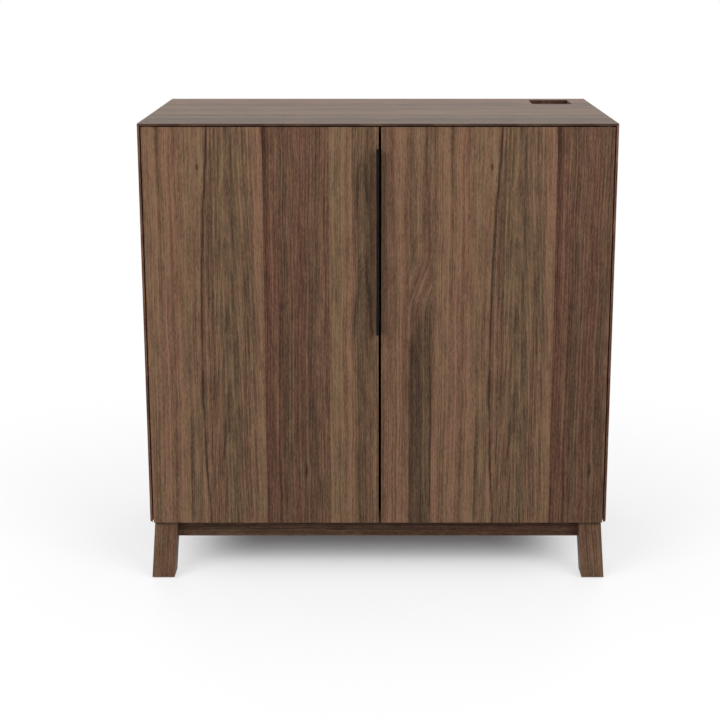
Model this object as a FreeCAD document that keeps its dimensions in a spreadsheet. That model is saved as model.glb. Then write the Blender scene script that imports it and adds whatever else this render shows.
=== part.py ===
"""A walnut cellarette: a mitred case with two inset doors on a base of four splayed legs.

The frame has +Z up, the doors face -Y, and the origin is on the floor under the middle of the
whole piece.  Every size is in millimetres.
"""
import FreeCAD, Part
import os
import re
import Sketcher

# Driving sizes.  Each is one cell of the sheet, and every feature reads it from there.
SIZES = {
    # case of four mitred boards and a back let into them
    "case_width": 914.0,
    "case_depth": 508.0,
    "case_height": 804.0,
    "case_lift": 117.0,
    "board": 20.0,
    "lip": 4.2,
    "corner_cut": 7.0,
    "back_board": 9.0,
    "back_rabbet": 10.0,
    "back_play": 0.5,
    "back_inset": 1.5,
    # cord slot in the top
    "slot_width": 85.0,
    "slot_depth": 88.0,
    "slot_from_side": 41.0,
    "slot_from_back": 33.0,
    # doors
    "door_thickness": 20.0,
    "door_gap": 2.4,
    "meeting_gap": 3.8,
    "door_room": 5.5,
    "left_door_past_centre": 1.15,
    # edge pull, bent from sheet steel
    "pull_sheet": 1.2,
    "pull_reach": 23.0,
    "pull_lip": 5.4,
    "pull_flange": 14.0,
    "pull_length": 362.0,
    "pull_drop": 46.0,
    "pull_bend": 1.7,
    # pivots
    "axis_inset": 12.0,
    "axis_depth": 7.0,
    "pivot_radius": 2.5,
    "pivot_length": 16.0,
    "pivot_play": 0.05,
    "plate_sheet": 1.5,
    "plate_end": 8.0,
    "plate_nose": 5.0,
    "plate_length": 60.0,
    "plate_shoulder": 20.0,
    "plate_arm": 10.0,
    "plate_rise": 15.0,
    "bush_radius": 4.0,
    "bush_length": 14.0,
    "bush_rim_radius": 6.0,
    "bush_rim": 0.6,
    # catches, strikes and bumpers
    "catch_width": 44.0,
    "catch_nose": 28.0,
    "catch_depth": 25.0,
    "catch_ear": 10.0,
    "ear_thickness": 3.0,
    "catch_height": 13.0,
    "catch_from_edge": 45.0,
    "catch_play": 0.4,
    "strike_width": 34.0,
    "strike_height": 12.0,
    "strike_sheet": 1.5,
    "bumper_radius": 4.0,
    "bumper_play": 0.3,
    # adjustable shelf on pins
    "shelf_thickness": 20.0,
    "shelf_depth": 345.0,
    "shelf_setback": 10.0,
    "shelf_play": 1.0,
    "hole_first": 290.0,
    "hole_pitch": 32.0,
    "hole_count": 7,
    "hole_depth": 10.0,
    "hole_play": 0.05,
    "lower_hole_count": 3,
    "pin_radius": 2.5,
    "pin_reach": 12.0,
    "pin_inset": 37.0,
    # rails that stemmed glasses hang from
    "glass_rail_length": 300.0,
    "glass_rail_setback": 35.0,
    "glass_rail_pitch": 95.0,
    "glass_rail_from_side": 50.0,
    "glass_stem": 18.0,
    "glass_drop": 22.0,
    "glass_flange": 60.0,
    "glass_flange_thickness": 8.0,
    # scalloped rests for bottles that lie down
    "rest_thickness": 20.0,
    "rest_pitch": 102.0,
    "rest_count": 4,
    "rest_from_side": 12.0,
    "neck_rest_height": 59.0,
    "neck_radius": 17.0,
    "neck_above": 3.0,
    "neck_rest_setback": 85.0,
    "body_rest_height": 44.0,
    "body_radius": 40.0,
    "body_above": 18.0,
    "body_rest_setback": 305.0,
    # base
    "leg_side": 45.0,
    "leg_inset": 8.0,
    "rail_thickness": 16.0,
    "rail_height": 39.0,
    "block_side": 48.0,
    "block_tip": 12.0,
    "block_height": 32.0,
    "block_play": 1.0,
    "glide_height": 2.0,
    "glide_radius": 11.0,
}
GLASS_RAILS = 4

# Places that follow from the sizes.
FRONT = "((pull_reach - case_depth) / 2)"
BACK = "((pull_reach + case_depth) / 2)"
MIDDLE = "(pull_reach / 2)"
SIDE = "(case_width / 2)"
CASE_TOP = "(case_lift + case_height)"
INNER_TOP = f"({CASE_TOP} - board)"
INNER_FLOOR = "(case_lift + board)"
RECESS = "(door_thickness + door_room)"
BACK_REBATE = "(case_depth - back_inset - back_board)"
SHELF_FRONT = f"({RECESS} + shelf_setback)"
HINGE_EDGE = f"({SIDE} - lip - door_gap)"
AXIS_X = f"({HINGE_EDGE} - axis_inset)"
AXIS_Y = f"({FRONT} + axis_depth)"
HINGE_MIDDLE = f"((case_lift + {CASE_TOP} - lip) / 2)"
DOOR_BOTTOM = "(case_lift + door_gap)"
DOOR_HEIGHT = "(case_height - lip - 2 * door_gap)"
LEFT_MEETING = "left_door_past_centre"
RIGHT_MEETING = "(left_door_past_centre + pull_sheet + meeting_gap)"
CORNER = "(leg_inset + leg_side)"
RAIL_LEAN = "(leg_inset * rail_height / (case_lift - glide_height))"
RAIL_INNER = f"({CORNER} - {RAIL_LEAN})"
SHELF_PIN_HEIGHT = f"({INNER_FLOOR} + hole_first + lower_hole_count * hole_pitch)"

X_AXIS = FreeCAD.Vector(1, 0, 0)
Y_AXIS = FreeCAD.Vector(0, 1, 0)
Z_AXIS = FreeCAD.Vector(0, 0, 1)
ORIGIN = FreeCAD.Vector(0, 0, 0)
QUARTER_TURN = 90
FULL_TURN = 360
TOUCHING = 0.001

doc = FreeCAD.newDocument("cellarette")
sheet = doc.addObject("Spreadsheet::Sheet", "Sizes")
for row, (size_name, size) in enumerate(SIZES.items(), start=1):
    sheet.set(f"A{row}", size_name)
    sheet.set(f"B{row}", str(size))
    sheet.setAlias(f"B{row}", size_name)
doc.recompute()

subparts = []


# ---------------------------------------------------------------- working with the sheet
def tied(formula):
    """The formula with each size in it read from the sheet."""
    return re.sub("[a-z_]+", lambda word: f"Sizes.{word[0]}" if word[0] in SIZES else word[0], formula)


def size_of(formula):
    """What a formula comes to now."""
    return float(sheet.evalExpression(tied(formula)))


def tie(item, **formulas):
    """Binds properties of an object to formulas."""
    for name, formula in formulas.items():
        item.setExpression(name.replace("__", "."), tied(formula))


def place(item, across, along, up):
    """Puts an object's own origin at a place in the whole."""
    tie(item, Placement__Base__x=across, Placement__Base__y=along, Placement__Base__z=up)


def keep(item, name):
    """Names a finished sub-part and lists it for export."""
    item.Label = name
    subparts.append(item)
    return item


# ---------------------------------------------------------------- sketches and features
def new_body(name):
    return doc.addObject("PartDesign::Body", name)


def sketch_on(body, role, lift="0"):
    """A sketch on one of the body's own origin planes, lifted along the plane's normal."""
    sketch = body.newObject("Sketcher::SketchObject", "outline")
    plane = next(feature for feature in body.Origin.OriginFeatures if feature.Role == role)
    sketch.AttachmentSupport = (plane, "")
    sketch.MapMode = "FlatFace"
    tie(sketch, AttachmentOffset__Base__z=lift)
    return sketch


def dimension(sketch, edge, point, across, up):
    """Ties one point of an edge to its distances from the sketch's origin."""
    for kind, formula in (("DistanceX", across), ("DistanceY", up)):
        index = sketch.addConstraint(Sketcher.Constraint(kind, -1, 1, edge, point, size_of(formula)))
        sketch.setExpression(f"Constraints[{index}]", tied(formula))


def polygon(sketch, corners):
    """A closed outline of straight edges through corners given as pairs of formulas."""
    points = [FreeCAD.Vector(size_of(across), size_of(up), 0) for across, up in corners]
    following = points[1:] + points[:1]
    edges = [sketch.addGeometry(Part.LineSegment(start, end)) for start, end in zip(points, following)]
    for edge, next_edge in zip(edges, edges[1:] + edges[:1]):
        sketch.addConstraint(Sketcher.Constraint("Coincident", edge, 2, next_edge, 1))
    for edge, (across, up) in zip(edges, corners):
        dimension(sketch, edge, 1, across, up)


def rectangle(sketch, left, low, right, high):
    polygon(sketch, [(left, low), (right, low), (right, high), (left, high)])


def circle(sketch, across, up, radius):
    centre = FreeCAD.Vector(size_of(across), size_of(up), 0)
    edge = sketch.addGeometry(Part.Circle(centre, Z_AXIS, size_of(radius)))
    index = sketch.addConstraint(Sketcher.Constraint("Radius", edge, size_of(radius)))
    sketch.setExpression(f"Constraints[{index}]", tied(radius))
    dimension(sketch, edge, 3, across, up)


def pad(body, sketch, length, backward=False):
    feature = body.newObject("PartDesign::Pad", "pad")
    feature.Profile = sketch
    feature.Reversed = backward
    tie(feature, Length=length)
    doc.recompute()
    return feature


def pocket(body, sketch, depth=None, forward=False):
    """A cut against the sketch's normal, right through where no depth is given."""
    before = body.Shape.Volume
    feature = body.newObject("PartDesign::Pocket", "pocket")
    feature.Profile = sketch
    feature.Reversed = forward
    if depth is None:
        feature.Type = "ThroughAll"
    else:
        tie(feature, Length=depth)
    doc.recompute()
    if body.Shape.Volume >= before:
        raise RuntimeError(f"{body.Name}: {feature.Name} cuts nothing")
    return feature


def row_of(body, feature, sketch, axis, count, span):
    """Repeats a feature along an axis of its sketch."""
    pattern = body.newObject("PartDesign::LinearPattern", "row")
    pattern.Originals = [feature]
    pattern.Direction = (sketch, [axis])
    tie(pattern, Occurrences=count, Length=span)
    body.Tip = pattern
    doc.recompute()
    return pattern


def round_upright_edge(body, across, along, radius):
    """Rounds the upright edge that stands at a place in the body's own frame."""
    corner = FreeCAD.Vector(size_of(across), size_of(along), 0)
    names = []
    for number, edge in enumerate(body.Shape.Edges, start=1):
        feet = [FreeCAD.Vector(vertex.X, vertex.Y, 0) for vertex in edge.Vertexes]
        if all(foot.distanceToPoint(corner) < TOUCHING for foot in feet):
            names.append(f"Edge{number}")
    bent = body.Tip
    feature = body.newObject("PartDesign::Fillet", "bend")
    feature.Base = (bent, names)
    tie(feature, Radius=radius)
    doc.recompute()
    return feature


def block(name, length, width, height):
    """A plain rectangular solid from its own origin."""
    item = doc.addObject("Part::Box", name)
    tie(item, Length=length, Width=width, Height=height)
    return item


def rod(name, radius, length, turn_about=None):
    """A cylinder along +Z, or along +X or -Y after a quarter turn about Y or X."""
    item = doc.addObject("Part::Cylinder", name)
    tie(item, Radius=radius, Height=length)
    if turn_about is not None:
        item.Placement = FreeCAD.Placement(ORIGIN, FreeCAD.Rotation(turn_about, QUARTER_TURN))
    return item


def mirrored(source, name, normal, **base):
    """A mirror image of another sub-part in a plane tied to the sheet."""
    item = doc.addObject("Part::Mirroring", name)
    item.Source = source
    item.Normal = normal
    tie(item, **base)
    doc.recompute()
    return keep(item, name)


def on_right(source, name):
    return mirrored(source, name, X_AXIS)


def on_back(source, name):
    return mirrored(source, name, Y_AXIS, Base__y=MIDDLE)


def on_upper(source, name):
    return mirrored(source, name, Z_AXIS, Base__z=HINGE_MIDDLE)


def on_four_corners(source, name):
    """Names the front left piece and mirrors it to the other three corners."""
    keep(source, f"front_left_{name}")
    right = on_right(source, f"front_right_{name}")
    on_back(source, f"rear_left_{name}")
    on_back(right, f"rear_right_{name}")


def on_four_pivots(source, name):
    """Names the lower left piece and mirrors it to the other three pivots."""
    keep(source, f"lower_left_{name}")
    right = on_right(source, f"lower_right_{name}")
    on_upper(source, f"upper_left_{name}")
    on_upper(right, f"upper_right_{name}")


# ---------------------------------------------------------------- case
def case_board(name, role, section, start, run, mitres):
    """A board run through with its rebates, then mitred where it meets its neighbours."""
    body = new_body(name)
    sketch = sketch_on(body, role, start)
    polygon(sketch, section)
    pad(body, sketch, run)
    ends = sketch_on(body, "XZ_Plane")
    for mitre in mitres:
        polygon(ends, mitre)
    pocket(body, ends)
    return keep(body, name)


def top_panel():
    section = [
        ("0", "0"),
        ("case_depth", "0"),
        ("case_depth", "back_rabbet - board"),
        (BACK_REBATE, "back_rabbet - board"),
        (BACK_REBATE, "-board"),
        (RECESS, "-board"),
        (RECESS, "-lip"),
        ("0", "-lip"),
    ]
    mitres = [
        [(f"{sign}{SIDE}", "0"), (f"{sign}({SIDE} - board)", "-board"), (f"{sign}{SIDE}", "-board")]
        for sign in ("-", "")
    ]
    body = case_board("top_panel", "YZ_Plane", section, f"-{SIDE}", "case_width", mitres)
    slot = sketch_on(body, "XY_Plane")
    rectangle(
        slot,
        f"{SIDE} - slot_from_side - slot_width",
        "case_depth - slot_from_back - slot_depth",
        f"{SIDE} - slot_from_side",
        "case_depth - slot_from_back",
    )
    pocket(body, slot)
    place(body, "0", FRONT, CASE_TOP)


def bottom_panel():
    """The floor of the case, which the doors hang in front of."""
    section = [
        (RECESS, "0"),
        ("case_depth", "0"),
        ("case_depth", "board - back_rabbet"),
        (BACK_REBATE, "board - back_rabbet"),
        (BACK_REBATE, "board"),
        (RECESS, "board"),
    ]
    mitres = [
        [
            (f"{sign}{SIDE}", "0"),
            (f"{sign}({SIDE} - corner_cut)", "0"),
            (f"{sign}({SIDE} - corner_cut / 2)", "corner_cut / 2"),
            (f"{sign}({SIDE} - board)", "board"),
            (f"{sign}{SIDE}", "board"),
        ]
        for sign in ("-", "")
    ]
    body = case_board("bottom_panel", "YZ_Plane", section, f"-{SIDE}", "case_width", mitres)
    place(body, "0", FRONT, "case_lift")


def side_panels():
    """Two boards with a lip before the doors, and rows of holes for the shelf pins."""
    section = [
        ("0", "0"),
        ("lip", "0"),
        ("lip", RECESS),
        ("board", RECESS),
        ("board", BACK_REBATE),
        ("board - back_rabbet", BACK_REBATE),
        ("board - back_rabbet", "case_depth"),
        ("0", "case_depth"),
    ]
    upper_mitre = [("0", "case_height"), ("board", "case_height - board"), ("board", "case_height")]
    lower_mitre = [
        ("0", "0"),
        ("board", "0"),
        ("board", "board"),
        ("corner_cut / 2", "corner_cut / 2"),
        ("0", "corner_cut"),
    ]
    body = case_board("left_side", "XY_Plane", section, "0", "case_height", [upper_mitre, lower_mitre])
    holes = sketch_on(body, "YZ_Plane", "board")
    for along in (f"{SHELF_FRONT} + pin_inset", f"{SHELF_FRONT} + shelf_depth - pin_inset"):
        circle(holes, along, "board + hole_first", "pin_radius + hole_play")
    drilled = pocket(body, holes, "hole_depth")
    row_of(body, drilled, holes, "V_Axis", "hole_count", "(hole_count - 1) * hole_pitch")
    place(body, f"-{SIDE}", FRONT, "case_lift")
    on_right(body, "right_side")


def back_panel():
    edge = "2 * (board - back_rabbet + back_play)"
    back = block("back_panel", f"case_width - {edge}", "back_board", f"case_height - {edge}")
    inset = "board - back_rabbet + back_play"
    place(back, f"{inset} - {SIDE}", f"{FRONT} + {BACK_REBATE}", f"case_lift + {inset}")
    keep(back, "back_panel")


# ---------------------------------------------------------------- inside the case
def shelf():
    board = block("shelf", "case_width - 2 * (board + shelf_play)", "shelf_depth", "shelf_thickness")
    place(board, f"board + shelf_play - {SIDE}", f"{FRONT} + {SHELF_FRONT}", f"{SHELF_PIN_HEIGHT} + pin_radius")
    keep(board, "shelf")


def shelf_pins():
    """Four steel pins, one near each corner of the shelf."""
    pins = []
    for across in (f"board - hole_depth - {SIDE}", f"{SIDE} - board - pin_reach"):
        for along in ("pin_inset", "shelf_depth - pin_inset"):
            pin = rod("shelf_pin", "pin_radius", "hole_depth + pin_reach", Y_AXIS)
            place(pin, across, f"{FRONT} + {SHELF_FRONT} + {along}", SHELF_PIN_HEIGHT)
            pins.append(pin)
    group = doc.addObject("Part::Compound", "shelf_pins")
    group.Links = pins
    keep(group, "shelf_pins")


def glass_rails():
    """T-shaped rails under the top.  The feet of the glasses slide in between their stems."""
    low = "-glass_drop - glass_flange_thickness"
    section = [
        ("-glass_stem / 2", "0"),
        ("glass_stem / 2", "0"),
        ("glass_stem / 2", "-glass_drop"),
        ("glass_flange / 2", "-glass_drop"),
        ("glass_flange / 2", low),
        ("-glass_flange / 2", low),
        ("-glass_flange / 2", "-glass_drop"),
        ("-glass_stem / 2", "-glass_drop"),
    ]
    for number in range(GLASS_RAILS):
        name = f"glass_rail_{number + 1}"
        body = new_body(name)
        sketch = sketch_on(body, "XZ_Plane")
        polygon(sketch, section)
        pad(body, sketch, "glass_rail_length", backward=True)
        across = f"board + glass_rail_from_side + {number} * glass_rail_pitch - {SIDE}"
        place(body, across, f"{FRONT} + {RECESS} + glass_rail_setback", INNER_TOP)
        keep(body, name)


def bottle_rest(name, height, radius, above, setback):
    """A board on edge with a row of round scallops in its top."""
    body = new_body(name)
    outline = sketch_on(body, "XZ_Plane")
    rectangle(outline, "0", "0", "rest_count * rest_pitch", height)
    pad(body, outline, "rest_thickness", backward=True)
    scallop = sketch_on(body, "XZ_Plane")
    circle(scallop, "rest_pitch / 2", f"{height} + {above}", radius)
    cut = pocket(body, scallop)
    row_of(body, cut, scallop, "H_Axis", "rest_count", "(rest_count - 1) * rest_pitch")
    place(body, f"board + rest_from_side - {SIDE}", f"{FRONT} + {setback}", INNER_FLOOR)
    keep(body, name)


# ---------------------------------------------------------------- doors
def door(name, width, hinge_across):
    """A solid door, bored at its top and bottom edges for the pivot bushes."""
    body = new_body(name)
    outline = sketch_on(body, "XY_Plane")
    rectangle(outline, "0", "0", width, "door_thickness")
    pad(body, outline, DOOR_HEIGHT)
    for lift, forward in (("0", True), (DOOR_HEIGHT, False)):
        bore = sketch_on(body, "XY_Plane", lift)
        circle(bore, hinge_across, "axis_depth", "bush_radius")
        pocket(body, bore, "bush_length", forward)
    return keep(body, name)


def doors():
    left_width = f"{HINGE_EDGE} + {LEFT_MEETING}"
    right_width = f"{HINGE_EDGE} - {RIGHT_MEETING}"
    left = door("left_door", left_width, "axis_inset")
    place(left, f"-{HINGE_EDGE}", FRONT, DOOR_BOTTOM)
    right = door("right_door", right_width, f"{right_width} - axis_inset")
    place(right, RIGHT_MEETING, FRONT, DOOR_BOTTOM)


def door_pull():
    """A strip bent to an L: it is fixed to the door's meeting edge, and its lip turns left."""
    body = new_body("door_pull")
    section = sketch_on(body, "XY_Plane")
    corners = [
        ("pull_sheet - pull_lip", "-pull_reach"),
        ("pull_sheet", "-pull_reach"),
        ("pull_sheet", "pull_flange"),
        ("0", "pull_flange"),
        ("0", "pull_sheet - pull_reach"),
        ("pull_sheet - pull_lip", "pull_sheet - pull_reach"),
    ]
    polygon(section, corners)
    pad(body, section, "pull_length")
    round_upright_edge(body, "pull_sheet", "-pull_reach", "pull_bend")
    round_upright_edge(body, "0", "pull_sheet - pull_reach", "pull_bend - pull_sheet")
    place(body, LEFT_MEETING, FRONT, f"{CASE_TOP} - pull_drop - pull_length")
    keep(body, "door_pull")


# ---------------------------------------------------------------- pivots
def pivot_plates():
    """Bent plates: a tongue in the gap under or over the door, and a flange on the board behind."""
    body = new_body("pivot_plate")
    shoulder = f"{RECESS} - axis_depth"
    tongue = sketch_on(body, "XY_Plane")
    corners = [
        ("-plate_end", "-plate_nose"),
        ("plate_end", "-plate_nose"),
        ("plate_shoulder", f"{shoulder} - plate_arm"),
        ("plate_length", f"{shoulder} - plate_arm"),
        ("plate_length", shoulder),
        ("-plate_end", shoulder),
    ]
    polygon(tongue, corners)
    pad(body, tongue, "plate_sheet")
    flange = sketch_on(body, "XY_Plane")
    rectangle(flange, "plate_shoulder", f"{shoulder} - plate_sheet", "plate_length", shoulder)
    pad(body, flange, "plate_rise")
    hole = sketch_on(body, "XY_Plane", "plate_sheet")
    circle(hole, "0", "0", "pivot_radius")
    pocket(body, hole)
    place(body, f"-{AXIS_X}", AXIS_Y, "case_lift")
    on_four_pivots(body, "pivot_plate")


def pivot_pins():
    pin = rod("pivot_pin", "pivot_radius", "pivot_length")
    place(pin, f"-{AXIS_X}", AXIS_Y, "case_lift")
    on_four_pivots(pin, "pivot_pin")


def pivot_bushes():
    """Brass bushes in the doors, each with a rim between the door and the plate."""
    body = new_body("pivot_bush")
    section = sketch_on(body, "XZ_Plane")
    bore = "pivot_radius + pivot_play"
    corners = [
        (bore, "-bush_rim"),
        ("bush_rim_radius", "-bush_rim"),
        ("bush_rim_radius", "0"),
        ("bush_radius", "0"),
        ("bush_radius", "bush_length"),
        (bore, "bush_length"),
    ]
    polygon(section, corners)
    turned = body.newObject("PartDesign::Revolution", "turned")
    turned.Profile = section
    turned.ReferenceAxis = (section, ["V_Axis"])
    turned.Angle = FULL_TURN
    place(body, f"-{AXIS_X}", AXIS_Y, DOOR_BOTTOM)
    on_four_pivots(body, "pivot_bush")


# ---------------------------------------------------------------- catches
def catch(name, centre):
    """A magnetic catch under the top, with a thin ear on each side for its screw."""
    body = new_body(name)
    nose = sketch_on(body, "XY_Plane")
    rectangle(nose, "-catch_nose / 2", "0", "catch_nose / 2", "catch_depth")
    pad(body, nose, "catch_height", backward=True)
    ears = sketch_on(body, "XY_Plane")
    rectangle(ears, "-catch_width / 2", "catch_depth - catch_ear", "catch_width / 2", "catch_depth")
    pad(body, ears, "ear_thickness", backward=True)
    place(body, centre, f"{FRONT} + door_thickness + strike_sheet + catch_play", INNER_TOP)
    keep(body, name)


def strike(name, centre):
    """A steel plate on the back of a door, opposite its catch."""
    plate = block(name, "strike_width", "strike_sheet", "strike_height")
    low = f"{INNER_TOP} - (catch_height + strike_height) / 2"
    place(plate, f"{centre} - strike_width / 2", f"{FRONT} + door_thickness", low)
    keep(plate, name)


def bumper(name, centre):
    """A rubber stop on the front edge of the case's floor."""
    stop = rod(name, "bumper_radius", "door_room - bumper_play", X_AXIS)
    place(stop, centre, f"{FRONT} + {RECESS}", "case_lift + board / 2")
    keep(stop, name)


def door_stops():
    left = f"{LEFT_MEETING} - catch_from_edge"
    right = f"{RIGHT_MEETING} + catch_from_edge"
    for side, centre in (("left", left), ("right", right)):
        catch(f"{side}_catch", centre)
        strike(f"{side}_strike", centre)
        bumper(f"{side}_bumper", centre)


# ---------------------------------------------------------------- base
def legs():
    """Square legs that splay out both ways, until their feet stand under the case's corners."""
    body = new_body("leg")
    foot = sketch_on(body, "XY_Plane", "glide_height")
    rectangle(foot, "0", "0", "leg_side", "leg_side")
    head = sketch_on(body, "XY_Plane", "case_lift")
    rectangle(head, "leg_inset", "leg_inset", CORNER, CORNER)
    splay = body.newObject("PartDesign::AdditiveLoft", "splay")
    splay.Profile = foot
    splay.Sections = [head]
    splay.Ruled = True
    place(body, f"-{SIDE}", FRONT, "0")
    on_four_corners(body, "leg")


def glides():
    glide = rod("glide", "glide_radius", "glide_height")
    place(glide, f"leg_side / 2 - {SIDE}", f"{FRONT} + leg_side / 2", "0")
    on_four_corners(glide, "glide")


def base_rail(name, role, half_span, backward):
    """A rail whose ends lean with the legs that it runs between."""
    body = new_body(name)
    outline = sketch_on(body, role)
    head = f"({half_span} - {CORNER})"
    foot = f"({half_span} - {RAIL_INNER})"
    polygon(outline, [(f"-{head}", "0"), (head, "0"), (foot, "-rail_height"), (f"-{foot}", "-rail_height")])
    pad(body, outline, "rail_thickness", backward)
    return keep(body, name)


def base_rails():
    front = base_rail("front_rail", "XZ_Plane", SIDE, True)
    place(front, "0", f"{FRONT} + {RAIL_INNER} - rail_thickness", "case_lift")
    on_back(front, "rear_rail")
    left = base_rail("left_rail", "YZ_Plane", "case_depth / 2", False)
    place(left, f"{RAIL_INNER} - rail_thickness - {SIDE}", MIDDLE, "case_lift")
    on_right(left, "right_rail")


def corner_blocks():
    """Glue blocks in the corners between the rails, cut back to clear the legs."""
    body = new_body("corner_block")
    plan = sketch_on(body, "XY_Plane")
    bevel = f"2 * {RAIL_LEAN} + block_play"
    corners = [
        (bevel, "0"),
        ("block_side", "0"),
        ("block_side", "block_tip"),
        ("block_tip", "block_side"),
        ("0", "block_side"),
        ("0", bevel),
    ]
    polygon(plan, corners)
    pad(body, plan, "block_height", backward=True)
    place(body, f"{RAIL_INNER} - {SIDE}", f"{FRONT} + {RAIL_INNER}", "case_lift")
    on_four_corners(body, "corner_block")


def check(item):
    """Stops on a sub-part that failed to build."""
    if item.Shape.isNull() or not item.Shape.isValid():
        raise RuntimeError(f"{item.Label} has no sound shape")


def main():
    top_panel()
    bottom_panel()
    side_panels()
    back_panel()
    shelf()
    shelf_pins()
    glass_rails()
    bottle_rest("neck_rest", "neck_rest_height", "neck_radius", "neck_above", "neck_rest_setback")
    bottle_rest("body_rest", "body_rest_height", "body_radius", "body_above", "body_rest_setback")
    doors()
    door_pull()
    pivot_plates()
    pivot_pins()
    pivot_bushes()
    door_stops()
    legs()
    glides()
    base_rails()
    corner_blocks()
    doc.recompute()
    for item in doc.Objects:
        if {"Invalid", "Error"} & set(item.State):
            raise RuntimeError(f"{item.Label} did not rebuild")
    os.makedirs("parts", exist_ok=True)
    for item in subparts:
        check(item)
        item.Shape.exportStep(f"parts/{item.Label}.step")


main()
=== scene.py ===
"""Looks of the walnut cellarette: materials, small fasteners, floor, lights and camera."""

import math

import bmesh
import bpy
from mathutils import Matrix, Vector
from random import Random


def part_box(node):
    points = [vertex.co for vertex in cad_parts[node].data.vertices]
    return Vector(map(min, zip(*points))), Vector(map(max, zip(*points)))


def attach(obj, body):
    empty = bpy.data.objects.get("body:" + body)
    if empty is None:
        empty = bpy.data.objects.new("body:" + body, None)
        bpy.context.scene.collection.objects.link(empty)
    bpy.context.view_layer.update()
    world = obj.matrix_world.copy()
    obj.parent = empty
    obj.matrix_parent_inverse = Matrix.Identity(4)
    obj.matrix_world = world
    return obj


MM = 0.001
X, Y, Z = range(3)
CASE_FRONT = -242.5 * MM
ROOT = "cabinet"
LEFT_LEAF = "left_leaf"
RIGHT_LEAF = "right_leaf"

# Camera: how far it stands in front of the case, how high, and how far it looks down.
IMAGE_SIZE = 720
CAMERA_DISTANCE = 2.84
CAMERA_HEIGHT = 1.232
CAMERA_PITCH = math.radians(12.5)
CAMERA_LENS = 75.0
CAMERA_SENSOR = 36.0
SIDE_SHIFT = -18 / IMAGE_SIZE
DOWN_SHIFT = -72 / IMAGE_SIZE

# Light: the surround, and the place, size and power of each soft lamp.
WORLD_LIGHT = 0.55
LAMP_TARGET = Vector((0.0, 0.0, 0.45))
LAMPS = (
    ("left_softbox", (-2.5, -3.0, 2.5), 2.8, 98.0),
    ("right_softbox", (2.5, -3.0, 2.5), 2.8, 98.0),
    ("rear_left_softbox", (-1.6, 4.0, 1.1), 1.8, 60.0),
    ("rear_right_softbox", (1.6, 4.0, 1.1), 1.8, 60.0),
)

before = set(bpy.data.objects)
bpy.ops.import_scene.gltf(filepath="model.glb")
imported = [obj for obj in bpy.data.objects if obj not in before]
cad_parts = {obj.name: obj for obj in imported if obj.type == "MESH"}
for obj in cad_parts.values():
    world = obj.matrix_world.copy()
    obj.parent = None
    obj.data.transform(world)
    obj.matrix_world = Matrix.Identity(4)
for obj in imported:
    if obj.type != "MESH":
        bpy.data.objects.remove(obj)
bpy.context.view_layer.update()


def colour(red, green, blue):
    """A shader colour from screen values of 0 to 255."""
    channels = []
    for value in (red, green, blue):
        part = value / 255
        channels.append(part / 12.92 if part <= 0.04045 else ((part + 0.055) / 1.055) ** 2.4)
    return (*channels, 1.0)


# The sockets of a mix node that work on colours.
MIX_FACTOR, MIX_FIRST, MIX_SECOND = 0, 6, 7
MIX_RESULT = 2


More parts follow.
